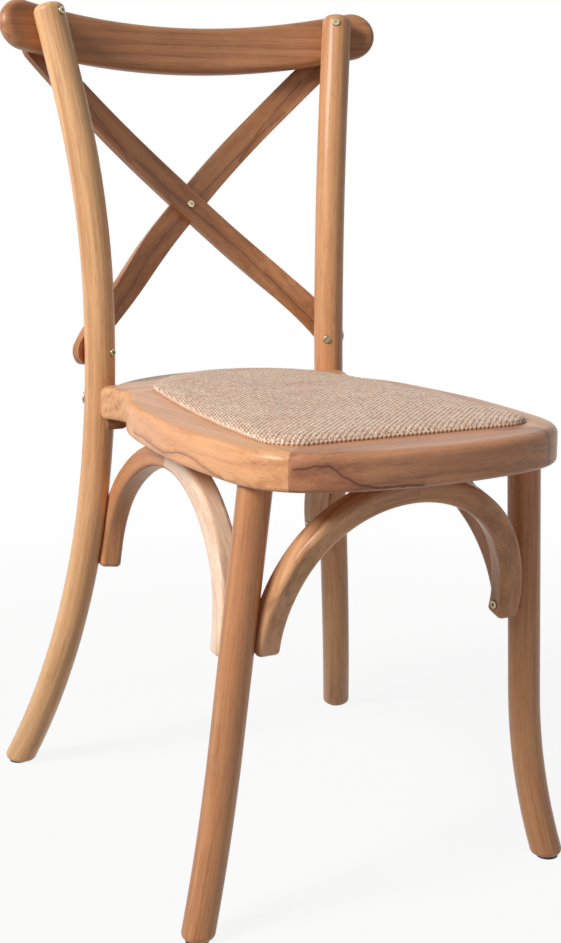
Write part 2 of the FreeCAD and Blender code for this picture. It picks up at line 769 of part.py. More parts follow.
def slat_low_screw_place():
    """Screw through a post into the lower end of a slat."""
    low, normal, _, _ = slat_ends()
    post, along = at_height(POST_LINE, low.z)
    into = square_to(normal, along)
    stand = POST_RADIUS - SCREW_SPOTFACE
    return post - into * stand, into, stand + POST_RADIUS + SLAT_THICKNESS * 0.75


def slat_top_screw_place():
    """Screw through the upper end of a slat into the back of the crest rail, on the -X side."""
    _, _, top, normal = slat_ends()
    stand = SLAT_THICKNESS / 2 - SCREW_SPOTFACE
    return top + normal * stand, normal * -1, stand + SLAT_THICKNESS / 2 + SLAT_TOP_SCREW_BITE


def cross_screw_place():
    """Screw through both slats where they cross."""
    middle, normal = slat_cross()
    stand = SLAT_THICKNESS - SCREW_SPOTFACE
    return middle - normal * stand, normal, stand + SLAT_THICKNESS * 0.75


def post_bolt_place():
    """Bolt through the back of a post into the neck of the seat."""
    post, along = at_height(POST_LINE, SEAT_TOP - SEAT_THICKNESS / 2)
    into = square_to(plan(BOLT_TURN), along)
    stand = POST_RADIUS - SCREW_SPOTFACE
    return post - into * stand, into, stand + POST_RADIUS + BOLT_BITE


def hoop_leg_screw_place(frame, span, lift, local):
    """Screw through the foot of a hoop; local is its direction in the hoop's own axes."""
    into = frame.Rotation.multVec(local)
    foot = frame.multVec(Vector(span, lift, 0))
    stand = HOOP_SECTION / 2 - SCREW_SPOTFACE
    return foot - into * stand, into, stand + HOOP_SECTION / 2 + HOOP_LEG_SCREW_BITE


def hoop_seat_screw_place(frame, span, rise, side_radius, side):
    """Screw up through a hoop near its crown into the seat frame."""
    crown = (span ** 2 + rise ** 2 - 2 * span * side_radius) / (2 * (rise - side_radius))
    inner = crown - HOOP_SECTION / 2
    level = rise - crown + math.sqrt(inner ** 2 - HOOP_SEAT_SCREW_OFFSET ** 2) + SCREW_SPOTFACE
    seat = frame.multVec(Vector(side * HOOP_SEAT_SCREW_OFFSET, level, 0))
    into = frame.Rotation.multVec(Vector(0, 1, 0))
    return seat, into, (SEAT_BOTTOM + HOOP_SEAT_SCREW_BITE - seat.z) / into.z


def board_screw_places():
    """Screws up through the ledge into the seat board."""
    rim = opening_wire(LEDGE_WIDTH / 2, 0)
    middle = Vector(0, (OPENING_FRONT_Y + OPENING_REAR_Y) / 2, 0)
    places = []
    for turn in BOARD_SCREW_TURNS:
        ray = Part.LineSegment(middle, middle + plan(turn) * REACH).toShape()
        spot = rim.distToShape(ray)[1][0][0]
        seat = Vector(spot.x, spot.y, SEAT_BOTTOM + SCREW_HEAD_HEIGHT)
        places.append((seat, UP, LEDGE_THICKNESS - SCREW_HEAD_HEIGHT + BOARD_SCREW_BITE))
    return places


def block_corner():
    """Point on a post's centreline where the corner block meets the seat."""
    post, _ = at_height(POST_LINE, SEAT_BOTTOM - BLOCK_DROP / 2)
    return post


def block_screw_place():
    """Screw up through a corner block into the rear rail."""
    post = block_corner()
    seat = Vector(post.x - POST_RADIUS - BLOCK_REACH / 3, post.y - BLOCK_DEPTH / 2,
                  SEAT_BOTTOM - BLOCK_HEEL)
    return seat, UP, BLOCK_HEEL + BLOCK_SCREW_BITE


def glide_place(edges):
    """Middle of a foot where the glide sits."""
    foot, _ = at_height(edges, GLIDE_THICKNESS)
    return foot


def holes(places, head=SCREW_HEAD_RADIUS, radius=SCREW_RADIUS):
    """All the spaces that a set of screws takes."""
    return [screw_hole(seat, into, length, head, radius) for seat, into, length in places]


def screws(places, head=SCREW_HEAD_RADIUS, radius=SCREW_RADIUS):
    """A set of screws as separate solids."""
    return [screw(seat, into, length, head, radius) for seat, into, length in places]


def flipped(places):
    """Places of the same fasteners on the other side of the chair."""
    return [(Vector(-seat.x, seat.y, seat.z), Vector(-into.x, into.y, into.z), length)
            for seat, into, length in places]


# Smaller pieces


def glide(edges):
    """Round glide under a foot, with the nail that holds it."""
    foot = glide_place(edges)
    base = Vector(foot.x, foot.y, 0)
    disc = Part.makeCylinder(GLIDE_RADIUS, GLIDE_THICKNESS, base)
    lower = [edge for edge in disc.Edges if edge.Closed and abs(edge.CenterOfMass.z) < 0.01]
    disc = disc.makeFillet(GLIDE_THICKNESS / 3, lower)
    return disc.fuse(Part.makeCylinder(GLIDE_NAIL_RADIUS, GLIDE_THICKNESS + GLIDE_NAIL_LENGTH, base))


def glide_hole(edges):
    """Hole in a foot for the nail of its glide."""
    foot = glide_place(edges)
    return Part.makeCylinder(GLIDE_NAIL_RADIUS + HOLE_FIT, GLIDE_NAIL_LENGTH + 1, foot)


def corner_block():
    """Tapered block in the corner between a post and the underside of the seat."""
    post = block_corner()
    inner = post.x - POST_RADIUS - BLOCK_REACH
    profile = [
        (post.x, SEAT_BOTTOM),
        (inner, SEAT_BOTTOM),
        (inner, SEAT_BOTTOM - BLOCK_HEEL),
        (post.x - POST_RADIUS, SEAT_BOTTOM - BLOCK_DROP),
        (post.x, SEAT_BOTTOM - BLOCK_DROP),
    ]
    corners = [Vector(x, post.y - BLOCK_DEPTH, z) for x, z in profile]
    block = Part.Face(Part.makePolygon(corners + corners[:1])).extrude(Vector(0, BLOCK_DEPTH, 0))
    return block.cut(pole(POST_LINE, POST_RADIUS + FIT))


def hoop_spacer(frame, rise):
    """Flat spacer between the crown of a side hoop and the seat."""
    crown = frame.multVec(Vector(0, rise, 0))
    along = frame.Rotation.multVec(Vector(1, 0, 0))
    across = Vector(-along.y, along.x, 0)
    corners = []
    for first, second in ((-1, -1), (1, -1), (1, 1), (-1, 1)):
        corner = crown + along * (first * SPACER_LENGTH / 2) + across * (second * SPACER_WIDTH / 2)
        corners.append(Vector(corner.x, corner.y, SEAT_BOTTOM - SPACER_THICKNESS))
    plate = Part.Face(Part.makePolygon(corners + corners[:1])).extrude(UP * SPACER_THICKNESS)
    upright = [edge for edge in plate.Edges if abs(edge.tangentAt(edge.FirstParameter).z) > 0.9]
    return plate.makeFillet(SPACER_WIDTH * 0.4, upright)


def dome(inset, drop):
    """Crowned solid over the seat board; inset and drop set it inside the outermost one."""
    edge = SEAT_TOP + MAT_EDGE_RISE - drop
    crown = SEAT_TOP + MAT_CROWN - drop
    shoulder = edge + (crown - edge) * 0.45
    rings = [
        (inset, BOARD_TOP, 1.0),
        (inset, SEAT_TOP + 1 - drop, 1.0),
        (inset + MAT_EDGE_RISE / 2, edge, 1.0),
        (inset + MAT_SHOULDER, shoulder, 1.0),
        (inset + MAT_SHOULDER, shoulder + (crown - shoulder) * 0.6, 0.75),
        (inset + MAT_SHOULDER, shoulder + (crown - shoulder) * 0.9, 0.45),
        (inset + MAT_SHOULDER, crown, 0.15),
    ]
    return Part.makeLoft([opening_wire(*ring) for ring in rings], True, True)


# Whole chair


def seat_rails(cutters):
    """Front, right, left and rear rails of the seat frame, with every hole cut."""
    ring = seat_blank()
    ring = ring.cut(opening_prism(0, BOARD_BOTTOM, SEAT_TOP + 1))
    ring = ring.cut(opening_prism(LEDGE_WIDTH, SEAT_BOTTOM - 1, BOARD_BOTTOM + 1))
    for cutter in cutters:
        ring = ring.cut(cutter)
    wide = 1.5 * OPENING_HALF_WIDTH
    narrow = 0.4 * OPENING_HALF_WIDTH
    front = [beyond(FRONT_SEAM_INNER, FRONT_SEAM_OUTER, x) for x in (narrow, wide)]
    neck = [beyond(NECK_SEAM_INNER, NECK_SEAM_OUTER, x) for x in (narrow, wide)]
    far = SEAT_REAR_Y + OVERRUN
    other_front = [(-x, y) for x, y in reversed(front)]
    other_neck = [(-x, y) for x, y in reversed(neck)]
    low = SEAT_BOTTOM - 1
    high = SEAT_TOP + 1
    front_part = prism(front + other_front, low, high)
    side_part = prism(front + neck[::-1], low, high)
    rear_part = prism(neck + [(wide, far), (-wide, far)] + other_neck, low, high)
    return (ring.common(front_part), ring.common(side_part),
            ring.common(mirrored(side_part)), ring.common(rear_part))


def build():
    """All the pieces by name; a name with several solids holds a list."""
    front_frame, front_span, front_rise = front_hoop_frame()
    side_frame, side_span, side_rise = side_hoop_frame()

    crest_screw = [crest_screw_place()]
    low_screw = [slat_low_screw_place()]
    top_screw = [slat_top_screw_place()]
    cross_screw = [cross_screw_place()]
    bolt = [post_bolt_place()]
    block_screw = [block_screw_place()]
    board_screws = board_screw_places()
    front_leg_screw = [hoop_leg_screw_place(front_frame, front_span, HOOP_SCREW_LIFT, Vector(1, 0, 0))]
    side_leg_screws = [
        hoop_leg_screw_place(side_frame, side_span, HOOP_UPPER_SCREW_LIFT, Vector(1, 0, 0)),
        hoop_leg_screw_place(side_frame, -side_span, HOOP_SCREW_LIFT, Vector(0, 0, -1)),
    ]
    front_seat_screws = [
        hoop_seat_screw_place(front_frame, front_span, front_rise, FRONT_HOOP_SIDE_RADIUS, side)
        for side in (1, -1)
    ]
    side_seat_screws = [
        hoop_seat_screw_place(side_frame, side_span, side_rise, SIDE_HOOP_SIDE_RADIUS, side)
        for side in (1, -1)
    ]
    dowels = seam_dowels(FRONT_SEAM_INNER, FRONT_SEAM_OUTER)
    dowels += seam_dowels(NECK_SEAM_INNER, NECK_SEAM_OUTER)
    dowel_rods = rods(dowels, DOWEL_RADIUS, DOWEL_LENGTH)
    dowel_rods += [mirrored(rod) for rod in dowel_rods]
    dowel_holes = rods([(start - along * 0.5, along) for start, along in dowels],
                       DOWEL_RADIUS + HOLE_FIT, DOWEL_LENGTH + 1)

    # Posts and legs
    saddle = pole(POST_LINE, POST_RADIUS + FIT)
    post = rear_post()
    for hole in holes(crest_screw + low_screw + side_leg_screws[1:]):
        post = post.cut(hole)
    post = post.cut(holes(bolt, BOLT_HEAD_RADIUS, BOLT_RADIUS)[0]).cut(glide_hole(POST_LINE))
    leg = front_leg()
    for hole in holes(front_leg_screw + side_leg_screws[:1]):
        leg = leg.cut(hole)
    leg = leg.cut(glide_hole(LEG_LINE))

    # Back
    crest = crest_rail()
    room = crest_room()
    for hole in holes(crest_screw + flipped(crest_screw) + top_screw + flipped(top_screw)):
        crest = crest.cut(hole)
    front_slat = slat_blank(-1).cut(saddle).cut(room)
    back_slat = mirrored(slat_blank(1).cut(saddle)).cut(room)
    back_slat = back_slat.cut(front_slat)
    for hole in holes(low_screw + top_screw + cross_screw):
        front_slat = front_slat.cut(hole)
    for hole in holes(flipped(low_screw) + flipped(top_screw) + cross_screw):
        back_slat = back_slat.cut(hole)

    # Seat
    half_cutters = [post_notch(), tenon(TENON_RADIUS + HOLE_FIT, TENON_LENGTH + 1, 1)] + dowel_holes
    half_cutters += holes(bolt, BOLT_HEAD_RADIUS, BOLT_RADIUS)
    half_cutters += holes(block_screw + side_seat_screws)
    cutters = half_cutters + [mirrored(cutter) for cutter in half_cutters]
    cutters += holes(front_seat_screws)
    cutters += holes(board_screws, BOARD_SCREW_HEAD_RADIUS, BOARD_SCREW_RADIUS)
    front_rail, right_rail, left_rail, rear_rail = seat_rails(cutters)
    board = opening_prism(2 * FIT, BOARD_BOTTOM, BOARD_TOP)
    for hole in holes(board_screws, BOARD_SCREW_HEAD_RADIUS, BOARD_SCREW_RADIUS):
        board = board.cut(hole)
    padding = dome(MAT_THICKNESS + FIT, MAT_THICKNESS + FIT)
    mat = dome(FIT, 0).cut(dome(MAT_THICKNESS, MAT_THICKNESS))

    # Hoops
    leg_tool = pole(LEG_LINE, LEG_RADIUS + FIT)
    land = slab(SEAT_BOTTOM, SEAT_BOTTOM + OVERRUN)
    front_half = hoop_half(front_span, front_rise, FRONT_HOOP_SIDE_RADIUS, FRONT_HOOP_END_DROP, front_frame)
    front_half = front_half.cut(leg_tool).cut(land)
    for hole in holes(front_leg_screw + front_seat_screws[:1]):
        front_half = front_half.cut(hole)
    side_land = slab(SEAT_BOTTOM - SPACER_THICKNESS, SEAT_BOTTOM + OVERRUN)
    side_front = hoop_half(side_span, side_rise, SIDE_HOOP_SIDE_RADIUS, SIDE_HOOP_FRONT_DROP, side_frame)
    turned = FreeCAD.Placement(Vector(0, 0, 0), FreeCAD.Rotation(Vector(0, 1, 0), 180))
    side_rear = hoop_half(side_span, side_rise, SIDE_HOOP_SIDE_RADIUS, SIDE_HOOP_REAR_DROP,
                          side_frame.multiply(turned))
    side_front = side_front.cut(leg_tool).cut(side_land)
    side_rear = side_rear.cut(saddle).cut(side_land)
    for hole in holes(side_leg_screws[:1] + side_seat_screws[:1]):
        side_front = side_front.cut(hole)
    for hole in holes(side_leg_screws[1:] + side_seat_screws[1:]):
        side_rear = side_rear.cut(hole)
    spacer = hoop_spacer(side_frame, side_rise)
    for hole in holes(side_seat_screws):
        spacer = spacer.cut(hole)
    block = corner_block()
    for hole in holes(block_screw):
        block = block.cut(hole)

    def both(shapes):
        return shapes + [mirrored(shape) for shape in shapes]

    return {
        "rear_post_right": post,
        "rear_post_left": mirrored(post),
        "front_leg_right": leg,
        "front_leg_left": mirrored(leg),
        "crest_rail": crest,
        "cross_slat_front": front_slat,
        "cross_slat_back": back_slat,
        "seat_front_rail": front_rail,
        "seat_right_rail": right_rail,
        "seat_left_rail": left_rail,
        "seat_rear_rail": rear_rail,
        "seat_board": board,
        "seat_padding": padding,
        "woven_mat": mat,
        "front_hoop_right_half": front_half,
        "front_hoop_left_half": mirrored(front_half),
        "right_hoop_front_half": side_front,
        "right_hoop_rear_half": side_rear,
        "left_hoop_front_half": mirrored(side_front),
        "left_hoop_rear_half": mirrored(side_rear),
        "hoop_spacers": both([spacer]),
        "corner_block_right": block,
        "corner_block_left": mirrored(block),
        "rail_dowels": dowel_rods,
        "post_bolts": both(screws(bolt, BOLT_HEAD_RADIUS, BOLT_RADIUS)),
        "crest_rail_screws": both(screws(crest_screw)),
        "slat_post_screws": both(screws(low_screw)),
        "slat_rail_screws": both(screws(top_screw)),
        "slat_cross_screw": screws(cross_screw),
        "hoop_leg_screws": both(screws(front_leg_screw + side_leg_screws)),
        "hoop_seat_screws": screws(front_seat_screws) + both(screws(side_seat_screws)),
        "corner_block_screws": both(screws(block_screw)),
        "seat_board_screws": screws(board_screws, BOARD_SCREW_HEAD_RADIUS, BOARD_SCREW_RADIUS),
        "foot_glides": both([glide(POST_LINE), glide(LEG_LINE)]),
    }


def export(pieces):
    """Write each piece, moved so that the origin is the bottom centre of the chair's box."""
    front = pieces["seat_front_rail"].optimalBoundingBox(False, False).YMin
    back = pieces["rear_post_right"].optimalBoundingBox(False, False).YMax
    shift = Vector(0, -(front + back) / 2, 0)
    for name, piece in pieces.items():
        shape = Part.makeCompound(piece) if isinstance(piece, list) else piece
        shape.translate(shift)
        shape.exportStep("parts/" + name + ".step")


export(build())
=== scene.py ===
"""Looks of a cross back chair: bent wood, a woven seat and small metal screws.

Lengths are in metres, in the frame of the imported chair: +Z up, front towards -Y.
"""
import math
import bpy
import numpy as np
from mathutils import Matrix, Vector
from mathutils.bvhtree import BVHTree


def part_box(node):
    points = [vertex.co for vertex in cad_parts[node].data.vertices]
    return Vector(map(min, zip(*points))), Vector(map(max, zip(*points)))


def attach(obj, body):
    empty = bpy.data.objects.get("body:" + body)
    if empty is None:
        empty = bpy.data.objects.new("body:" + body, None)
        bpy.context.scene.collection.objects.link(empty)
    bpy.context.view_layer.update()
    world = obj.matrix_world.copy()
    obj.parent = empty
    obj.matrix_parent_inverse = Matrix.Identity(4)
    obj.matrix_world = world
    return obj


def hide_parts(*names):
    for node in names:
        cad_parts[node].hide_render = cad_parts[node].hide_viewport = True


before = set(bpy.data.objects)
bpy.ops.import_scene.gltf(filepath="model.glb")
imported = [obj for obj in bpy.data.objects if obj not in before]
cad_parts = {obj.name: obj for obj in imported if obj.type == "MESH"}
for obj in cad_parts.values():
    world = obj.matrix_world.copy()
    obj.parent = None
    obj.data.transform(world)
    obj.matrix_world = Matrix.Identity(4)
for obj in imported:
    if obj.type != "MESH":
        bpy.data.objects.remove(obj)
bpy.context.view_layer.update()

MM = 0.001

# Camera: where it stands from the middle of the seat's front edge, and how it looks
CAMERA_X = -716.9 * MM
CAMERA_BEFORE_SEAT = 1104.9 * MM
CAMERA_HEIGHT = 723.8 * MM
CAMERA_YAW = 26.56
CAMERA_PITCH = 11.76
CAMERA_LENS = 58.1
CAMERA_SENSOR = 36.0

# Woven mat: strands, and the relief that they make
WEAVE_PITCH = 2.7 * MM
WEAVE_FLOAT = 1.6
WEAVE_TURN = 14
WEAVE_RELIEF = 0.9 * MM
WEAVE_WAVE = 0.38 * MM
WEAVE_STEP = 0.55 * MM
GAP_DEPTH = 0.2
WEFT_HEIGHT = 0.8
CROWN_CHANGE = 0.30
WARP_TONE = 0.06
WEFT_TONE = -0.10
LONG_DRIFT = 0.5 * MM
SHORT_DRIFT = 0.3 * MM
DRIFT_ACROSS = {"long": 37 * MM, "short": 19 * MM, "start": 1.3}
DRIFT_ALONG = {"long": 43 * MM, "short": 23 * MM, "start": 0.4}
MAT_OUTSIDE = 1.0

# Knotted edge of the mat
CORD_INSET = 2.3 * MM
CORD_RADIUS = 1.5 * MM
CORD_BULGE = 0.7 * MM
CORD_RISE = 1.1 * MM
CORD_FOOT = 4.0 * MM
CORD_KNOT = 4.6 * MM
CORD_TURN = 0.62
KNOT_SLANT = 0.35
KNOT_ROUND = 0.6
# Painted shade of the knotted edge: its tone between the knots and on the cord's sides
KNOT_GAP_SHADE = 0.05
KNOT_SIDE_SHADE = 0.55
KNOT_STEPS = 8
CORD_RING = 8
CORD_SPOTS = 160
MAT_EDGE_INSET = 0.9 * MM

# Value that noise runs around
NOISE_MIDDLE = 0.5

# Natural streaks in the wood
MARK_FADE = 3 * MM
MARK_WOBBLE = 5
MARK_GRAIN = 55.0
MARK_CORE = 0.3
MARK_STAIN = 0.45
MARK_STRENGTH = 0.85


# Node graphs


class Graph:
    """Small helper that builds the node tree of a new material or world."""

    def __init__(self, name, store=bpy.data.materials):
        self.owner = store.new(name)
        self.owner.use_nodes = True
        self.tree = self.owner.node_tree
        self.tree.nodes.clear()

    def add(self, kind, inputs=None, **settings):
        """Node of a kind, with its settings, and its inputs linked or set."""
        node = self.tree.nodes.new("ShaderNode" + kind)
        for key, value in settings.items():
            setattr(node, key, value)
        for key, value in (inputs or {}).items():
            socket = node.inputs[key]
            if isinstance(value, bpy.types.NodeSocket):
                self.tree.links.new(value, socket)
            else:
                socket.default_value = value
        return node

    def attribute(self, name, output="Vector"):
        """Value that a mesh carries at its points."""
        return self.add("Attribute", attribute_name=name).outputs[output]

    def place(self):
        """Place on the piece, along its own axes."""
        return self.add("TexCoord").outputs["Object"]

    def mapped(self, vector, scale, offset=(0, 0, 0)):
        """Scaled and moved coordinates."""
        node = self.add("Mapping", {"Vector": vector, "Scale": scale, "Location": offset})
        return node.outputs["Vector"]

    def noise(self, vector, scale, detail=3.0, roughness=0.55, distortion=0.0):
        """Soft noise from 0 to 1."""
        inputs = {"Vector": vector, "Scale": scale, "Detail": detail,
                  "Roughness": roughness, "Distortion": distortion}
        return self.add("TexNoise", inputs).outputs["Fac"]

    def math(self, operation, first, second=0.0, third=0.0):
        """One sum of two or three values."""
        inputs = {0: first, 1: second, 2: third}
        return self.add("Math", inputs, operation=operation).outputs[0]

    def weigh(self, first, second, share=0.5):
        """Two values added, the second one in its share and the first one in the rest."""
        first = self.math("MULTIPLY", first, 1 - share)
        return self.math("ADD", first, self.math("MULTIPLY", second, share))

    def spread(self, value, low, high, start=0.0, end=1.0):
        """Value between low and high, stretched to start and end, and clamped."""
        inputs = {"Value": value, "From Min": low, "From Max": high, "To Min": start, "To Max": end}
        return self.add("MapRange", inputs, clamp=True).outputs["Result"]

    def mix(self, share, first, second, blend="MIX"):
        """Two colours mixed."""
        inputs = {"Fac": share, "Color1": first, "Color2": second}
        return self.add("MixRGB", inputs, blend_type=blend).outputs["Color"]

    def ramp(self, value, stops):
        """Colours along a value from 0 to 1."""
        node = self.add("ValToRGB", {"Fac": value})
        elements = node.color_ramp.elements
        while len(elements) < len(stops):
            elements.new(0.5)
        for element, (place, colour) in zip(elements, stops):
            element.position = place
            element.color = colour
        return node.outputs["Color"]

    def bump(self, height, distance, strength=1.0):
        """Surface normal with relief."""
        inputs = {"Height": height, "Distance": distance, "Strength": strength}
        return self.add("Bump", inputs).outputs["Normal"]

    def route(self, value, points):
        """Height of a bent line over a value."""
        height = points[0][1]
        for (start, low), (end, high) in zip(points, points[1:]):
            height = self.math("ADD", self.spread(value, start, end, 0.0, high - low), height)
        return height

    def band(self, value, middle, reach):
        """1 where a value meets its middle, fading to 0 at a reach beside it."""
        away = self.math("ABSOLUTE", self.math("SUBTRACT", value, middle))
        return self.spread(away, 0.0, reach, 1.0, 0.0)

    def marked(self, colour, place, along, across, points, width, halo, tone):
        """Natural dark streak along a bent line, with a soft stain beside it."""
        axes = self.add("SeparateXYZ", {0: place}).outputs
        wobble = self.noise(place, MARK_GRAIN, detail=4.0, roughness=0.6)
        wobble = self.math("SUBTRACT", wobble, NOISE_MIDDLE)
        aside = self.math("SUBTRACT", axes[across], self.route(axes[along], points))
        aside = self.math("MULTIPLY_ADD", wobble, MARK_WOBBLE * width, aside)
        aside = self.math("ABSOLUTE", aside)
        core = self.spread(aside, MARK_CORE * width, width, 1.0, 0.0)
        stain = self.spread(aside, 0.0, halo, MARK_STAIN, 0.0)
        first, last = points[0][0], points[-1][0]
        start = self.spread(axes[along], first - MARK_FADE, first, 0.0, 1.0)
        end = self.spread(axes[along], last, last + MARK_FADE, 1.0, 0.0)
        share = self.math("MULTIPLY", self.math("MAXIMUM", core, stain), MARK_STRENGTH)
        share = self.math("MULTIPLY", share, self.math("MULTIPLY", start, end))
        return self.mix(share, colour, tone)

    def seen(self):
        """1 for rays from the camera, for reflections and for rays through glass."""
        path = self.add("LightPath").outputs
        through = self.math("MAXIMUM", path["Is Glossy Ray"], path["Is Transmission Ray"])
        return self.math("MAXIMUM", path["Is Camera Ray"], through)

    def finish(self, **inputs):
        """Main shader and output; the finished material."""
        named = {key.replace("_", " "): value for key, value in inputs.items()}
        shader = self.add("BsdfPrincipled", named)
        self.add("OutputMaterial", {"Surface": shader.outputs["BSDF"]})
        return self.owner


# Curve from screen colours to linear ones
SCREEN_TOE = 0.04045
SCREEN_SLOPE = 12.92
SCREEN_OFFSET = 0.055
SCREEN_POWER = 2.4


def shade(red, green, blue):
    """Linear colour of a screen colour from 0 to 255."""
    linear = []
    for part in (red, green, blue):
        part = part / 255
        if part <= SCREEN_TOE:
            linear.append(part / SCREEN_SLOPE)
        else:
            linear.append(((part + SCREEN_OFFSET) / (1 + SCREEN_OFFSET)) ** SCREEN_POWER)
    return (*linear, 1.0)


# Materials


# Wood figure: length share along the grain, scale, detail, roughness and share of the tone
FIGURE = {
    "broad": (0.10, 22.0, 3.0, 0.55, 0.28),
    "fine": (0.03, 420.0, 5.0, 0.62, 0.24),
    "streak": (0.02, 170.0, 4.0, 0.6, 0.28),
    "blotch": (0.5, 15.0, 2.0, 0.55, 0.14),
}
RING_STRETCH = 0.03
RING_SHARE = 0.06
RINGS = {"Scale": 22.0, "Distortion": 5.0, "Detail": 3.0, "Detail Scale": 0.8, "Detail Roughness": 0.6}
SEED_SPREAD = (0.37, 0.73, 0.19)
TONE_PLACES = (0.38, 0.50, 0.62)
FINE_LINE = shade(128, 74, 48)
FINE_LINE_SHARE = 0.34
RED_TINT = shade(226, 150, 112)
RED_TINT_SHARE = 0.20
VEIN = shade(96, 50, 34)
VEIN_EDGE_SHARE = 0.28
PORE = shade(120, 72, 46)
PORE_SHARE = 0.35
RUBBED = shade(236, 196, 152)
RUBBED_SHARE = 0.10
RUBBED_DULLNESS = 0.10
WOOD_RELIEF = 0.14 * MM
BROAD_RELIEF = 1.6
FINE_RELIEF = 0.5
PORE_RELIEF = 0.6
LACQUER = {"Specular_IOR_Level": 0.3, "Coat_Weight": 0.2, "Coat_Roughness": 0.22, "Coat_IOR": 1.45}


def wood(name, tones, seed, veins=0.5, marks=(), mark_space="object"):
    """Lacquered wood whose grain runs along the third axis of the grain attribute."""
    pale, middle, deep = tones
    g = Graph(name)
    grain = g.attribute("grain")
    offset = [seed * part for part in SEED_SPREAD]

    def figure(stretch, scale, detail=2.0, roughness=0.55, distortion=0.0):
        """Noise drawn out along the grain."""
        return g.noise(g.mapped(grain, (1, 1, stretch), offset), scale, detail, roughness, distortion)

    rings = {"Vector": g.mapped(grain, (1, 1, RING_STRETCH), offset), **RINGS}
    rings = g.add("TexWave", rings, wave_type="RINGS", rings_direction="Z", wave_profile="SIN")
    tone = g.math("MULTIPLY", rings.outputs["Fac"], RING_SHARE)
    parts = {}
    for key, (stretch, scale, detail, roughness, share) in FIGURE.items():
        parts[key] = figure(stretch, scale, detail, roughness)
        tone = g.math("MULTIPLY_ADD", parts[key], share, tone)
    colour = g.ramp(tone, list(zip(TONE_PLACES, (deep, middle, pale))))
    # Thin dark grain lines
    thin = g.band(figure(stretch=0.015, scale=260.0), NOISE_MIDDLE, reach=0.018)
    some = g.spread(figure(stretch=0.1, scale=30.0), low=0.45, high=0.62)
    thin = g.math("MULTIPLY", g.math("MULTIPLY", thin, some), FINE_LINE_SHARE)
    colour = g.mix(thin, colour, FINE_LINE)
    # Red brown tint in places
    tint = g.spread(figure(stretch=0.2, scale=11.0), low=0.46, high=0.70, end=RED_TINT_SHARE)
    colour = g.mix(tint, colour, RED_TINT, "MULTIPLY")
    # Dark mineral veins with a soft edge
    run = figure(stretch=0.07, scale=13.0, detail=3.0, roughness=0.6, distortion=0.3)
    edge = g.math("MULTIPLY", g.band(run, NOISE_MIDDLE, reach=0.045), VEIN_EDGE_SHARE)
    line = g.math("MAXIMUM", g.band(run, NOISE_MIDDLE, reach=0.008), edge)
    where = g.spread(figure(stretch=0.3, scale=8.0, detail=1.0), low=0.47, high=0.62, end=veins)
    colour = g.mix(g.math("MULTIPLY", line, where), colour, VEIN)
    for mark in marks:
        colour = g.marked(colour, g.place() if mark_space == "object" else grain, *mark)
    # Short pores
    pores = g.spread(figure(stretch=0.035, scale=1300.0, detail=1.0), low=0.60, high=0.74)
    colour = g.mix(g.math("MULTIPLY", pores, PORE_SHARE), colour, PORE)
    # Worn and hand rubbed patches are duller and a little paler
    worn = g.spread(g.noise(grain, scale=34.0, detail=4.0, roughness=0.65), low=0.52, high=0.72)
    colour = g.mix(g.math("MULTIPLY", worn, RUBBED_SHARE), colour, RUBBED)
    rough = g.spread(parts["fine"], low=0.3, high=0.7, start=0.36, end=0.46)
    rough = g.math("MULTIPLY_ADD", worn, RUBBED_DULLNESS, rough)
    fine = g.math("MULTIPLY", parts["fine"], FINE_RELIEF)
    relief = g.math("SUBTRACT", fine, g.math("MULTIPLY", pores, PORE_RELIEF))
    relief = g.math("MULTIPLY_ADD", parts["broad"], BROAD_RELIEF, relief)
    normal = g.bump(relief, WOOD_RELIEF, strength=0.8)
    return g.finish(Base_Color=colour, Roughness=rough, Normal=normal, **LACQUER)


RAW_RELIEF = 0.2 * MM


def raw_wood(name, pale, deep, seed):
    """Bare wood for hidden pieces, with its grain from left to right."""
    g = Graph(name)
    place = g.place()
    offset = (seed, 0, 0)
    along = g.noise(g.mapped(place, (0.06, 1, 1), offset), scale=240.0, detail=4.0)
    broad = g.noise(g.mapped(place, (0.3, 1, 1), offset), scale=30.0, detail=3.0)
    colour = g.ramp(g.weigh(along, broad), [(0.35, deep), (0.65, pale)])
    rough = g.spread(along, low=0.3, high=0.7, start=0.6, end=0.75)
    return g.finish(Base_Color=colour, Roughness=rough, Normal=g.bump(along, RAW_RELIEF, strength=0.7))


# Cane: colours from the painted shade in the gaps up to the painted highlight on the crowns, and the dull
# clouds over them
CANE_SHADE_TONES = [(0.10, shade(104, 70, 52)), (0.42, shade(198, 158, 130)),
              (0.72, shade(242, 206, 180)), (0.97, shade(255, 246, 232))]
CANE_CLOUD = shade(206, 164, 138)
CANE_CLOUD_SHARE = 0.25
STRAND_SCALE = 330.0
STRAND_STRETCH = 0.04
FIBRE_SHARE = 0.35
FIBRE_RELIEF = 0.12 * MM


